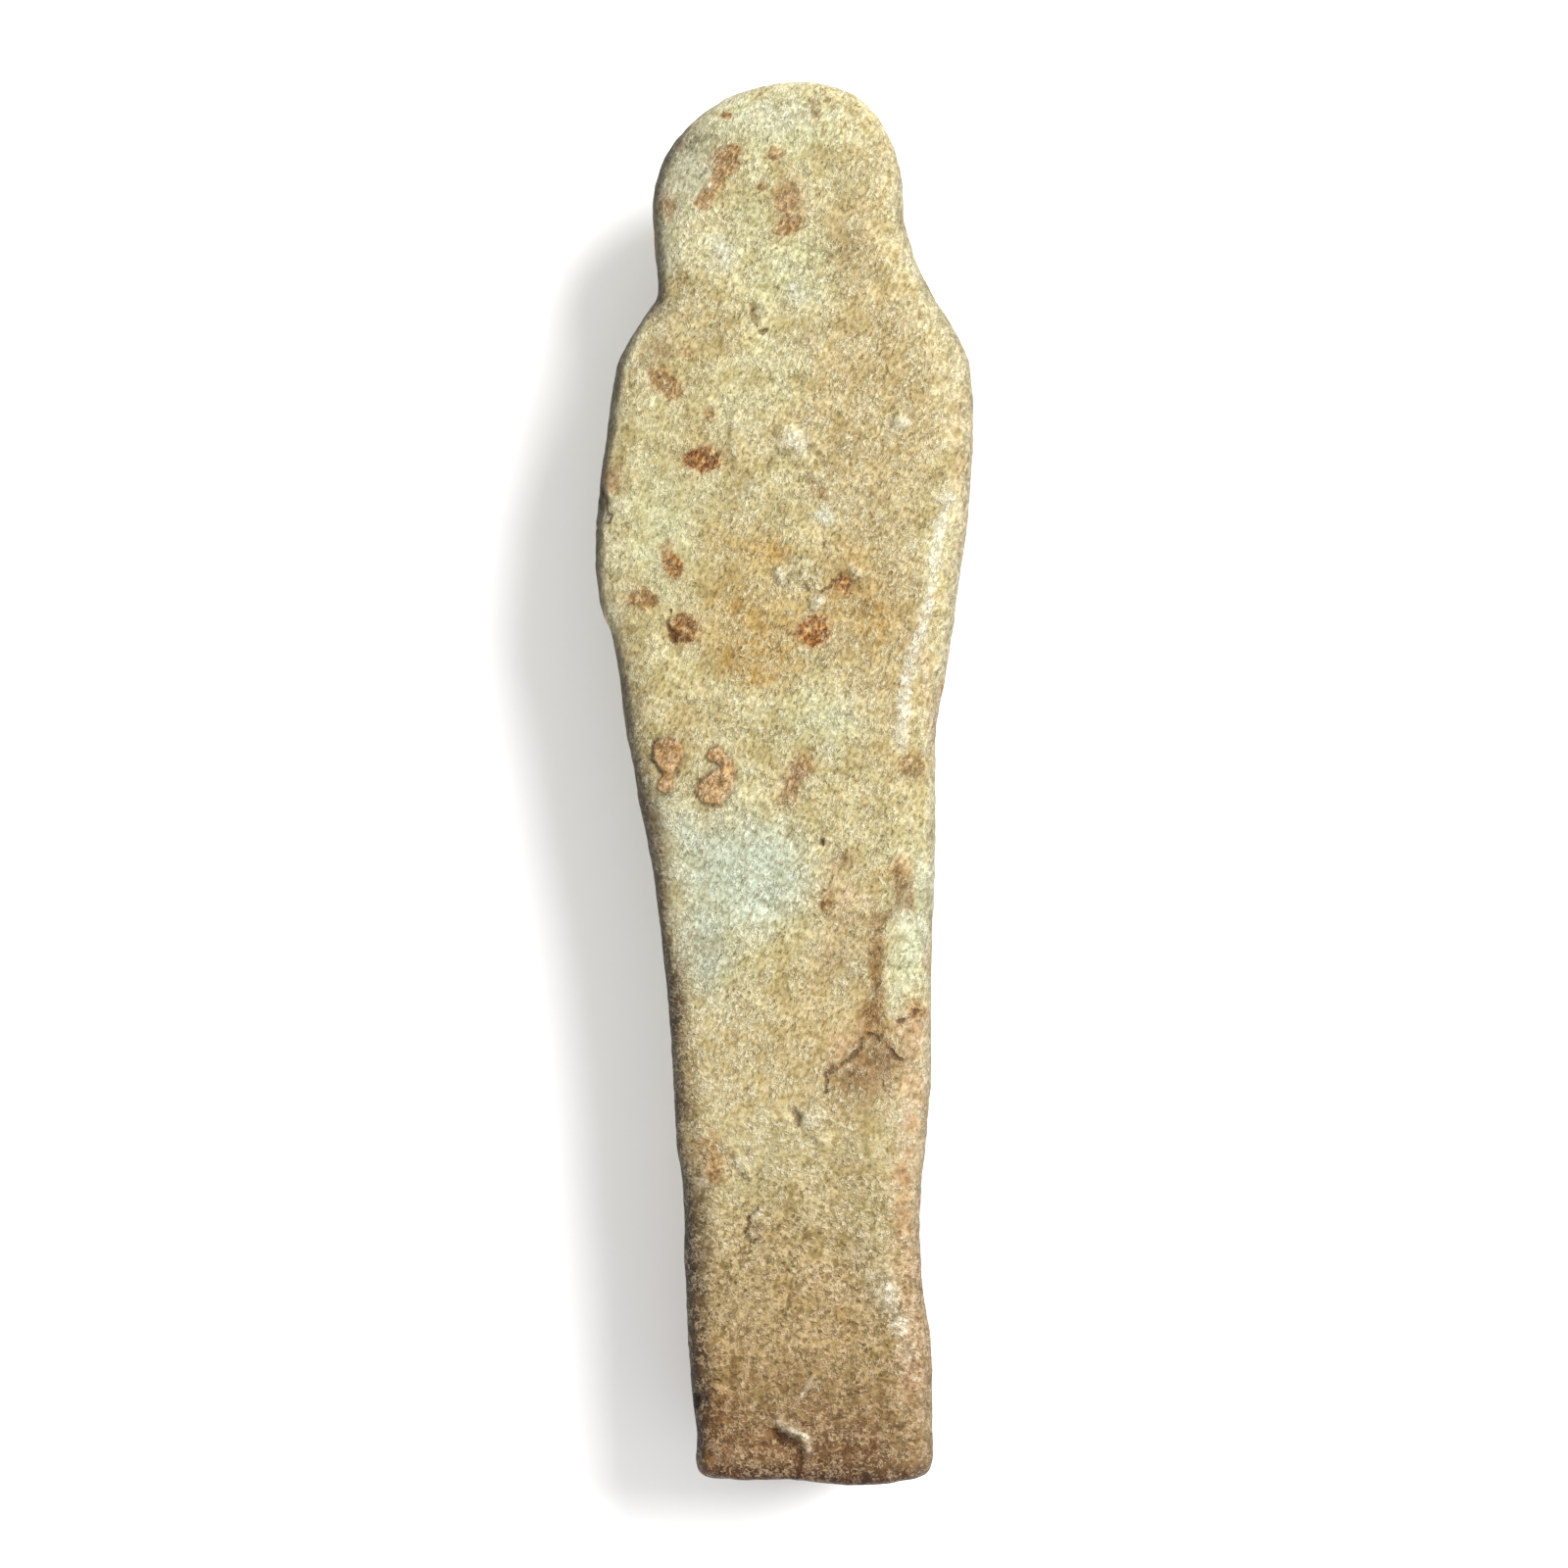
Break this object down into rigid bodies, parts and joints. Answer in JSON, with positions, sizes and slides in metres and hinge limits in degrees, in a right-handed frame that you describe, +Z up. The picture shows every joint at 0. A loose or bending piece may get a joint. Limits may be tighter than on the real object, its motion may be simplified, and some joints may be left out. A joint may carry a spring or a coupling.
{
  "type": "ushabti figurine",
  "caption": "Small mummy-shaped funerary figure with a flat moulded back, tripartite wig, false beard, arms crossed over hoes, and feet standing forward.",
  "frame": {"origin": "centre of the bounding box on the plane the figure rests on", "axes": "the figure lies face down: +Z up, out of its flat back; +Y towards its head; its right hand is on the +X side"},
  "size_m": [0.0275, 0.102, 0.017],
  "materials": {
    "weathered_faience": "matt weathered faience, glaze mostly worn away"
  },
  "bodies": {
    "root": {"ushabti": "weathered_faience"}
  },
  "joints": []
}
